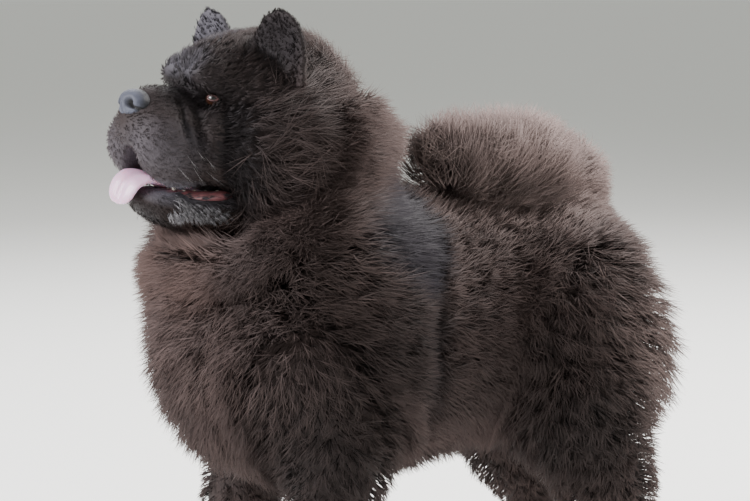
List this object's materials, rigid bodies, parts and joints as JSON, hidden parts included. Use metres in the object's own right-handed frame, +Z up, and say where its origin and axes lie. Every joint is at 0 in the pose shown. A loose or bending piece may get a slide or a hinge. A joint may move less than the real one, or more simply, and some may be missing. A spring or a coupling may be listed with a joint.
{
  "type": "chow chow, standing life-size model",
  "caption": "Life-size standing chow chow with a deep ruff, small erect ears, open mouth and tongue, and a plumed tail curled over its back.",
  "frame": {"origin": "on the floor, under the middle of the whole dog", "axes": "+Z up; the dog faces -Y and its left side is +X"},
  "size_m": [0.3826, 0.6786, 0.7503],
  "materials": {
    "coat_fur": "dense black-brown coat of the body",
    "ruff_fur": "long brown-black ruff and chest coat",
    "plume_fur": "long soft plume of the tail",
    "face_fur": "short black fur of the face, grey on the lip",
    "foot_fur": "short dense fur of the feet",
    "ear_velvet": "velvet fur of the ears",
    "nose_leather": "moist pebbled nose leather",
    "tongue": "wet lavender-pink tongue",
    "eye": "wet dark brown eye"
  },
  "bodies": {
    "root": {"ear_left": "ear_velvet", "ear_right": "ear_velvet", "eye_left": "eye", "eye_right": "eye", "fore_paw_left": "foot_fur", "fore_paw_right": "foot_fur", "foreleg_lower_left": "coat_fur", "foreleg_lower_right": "coat_fur", "foreleg_upper_left": "coat_fur", "foreleg_upper_right": "coat_fur", "head": "face_fur", "hind_paw_left": "foot_fur", "hind_paw_right": "foot_fur", "hindleg_lower_left": "coat_fur", "hindleg_lower_right": "coat_fur", "hindleg_upper_left": "coat_fur", "hindleg_upper_right": "coat_fur", "lower_jaw": "face_fur", "neck": "ruff_fur", "nose": "nose_leather", "tail": "plume_fur", "tongue": "tongue", "torso": "coat_fur"}
  },
  "joints": []
}
